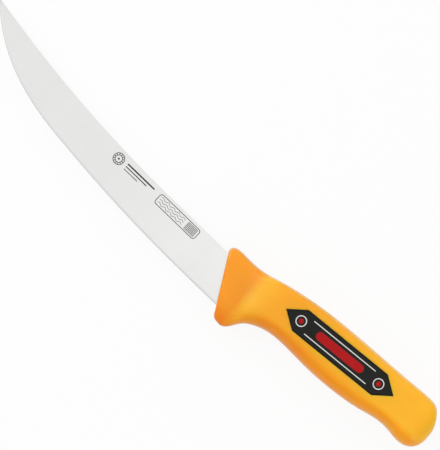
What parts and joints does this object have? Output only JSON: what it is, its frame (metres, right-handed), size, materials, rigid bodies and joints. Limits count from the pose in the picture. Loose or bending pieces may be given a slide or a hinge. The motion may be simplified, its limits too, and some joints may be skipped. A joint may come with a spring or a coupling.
{
  "type": "carving knife",
  "caption": "Carving knife with a swept-up ground stainless blade and a moulded plastic handle with a finger guard and a black label inlay.",
  "frame": {"origin": "centre of the bottom of the bounding box; the knife lies on the flat of its handle with the blade's middle plane 10 mm above it", "axes": "+X from tip to butt along the blade's heel, +Y from the cutting edge to the spine, +Z out of the flank that carries the label"},
  "size_m": [0.3106, 0.047, 0.02],
  "materials": {
    "blade_steel": "fine satin, taper ground",
    "handle_plastic": "smooth moulded, semi-gloss",
    "label_foil": "satin foil"
  },
  "bodies": {
    "root": {"blade": "blade_steel", "handle": "handle_plastic", "handle_label": "label_foil"}
  },
  "joints": []
}
